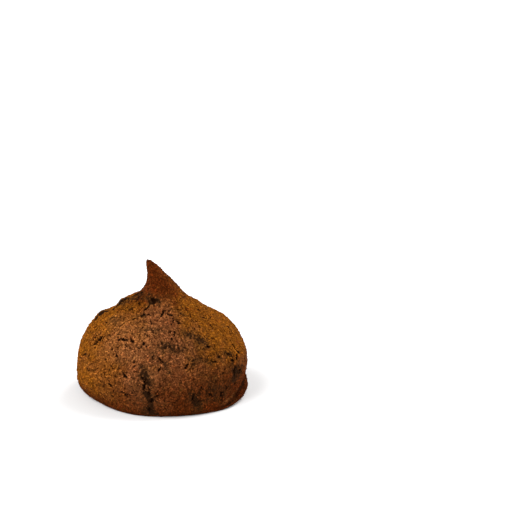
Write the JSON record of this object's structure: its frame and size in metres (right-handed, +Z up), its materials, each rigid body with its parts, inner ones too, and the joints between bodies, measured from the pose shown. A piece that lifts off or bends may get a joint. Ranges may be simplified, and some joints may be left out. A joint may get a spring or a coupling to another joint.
{
  "type": "chocolate truffle",
  "caption": "Domed truffle dusted with cocoa powder, its soft top drawn out into a leaning pointed tail, resting on a flat base.",
  "frame": {"origin": "middle of the flat base, at the bottom centre of the bounding box", "axes": "+Z up from the base to the tail; the front is -Y and the tail leans towards -X"},
  "size_m": [0.0334, 0.0334, 0.0262],
  "materials": {
    "cocoa_coating": "matte cocoa powder over dark chocolate"
  },
  "bodies": {
    "root": {"truffle": "cocoa_coating"}
  },
  "joints": []
}
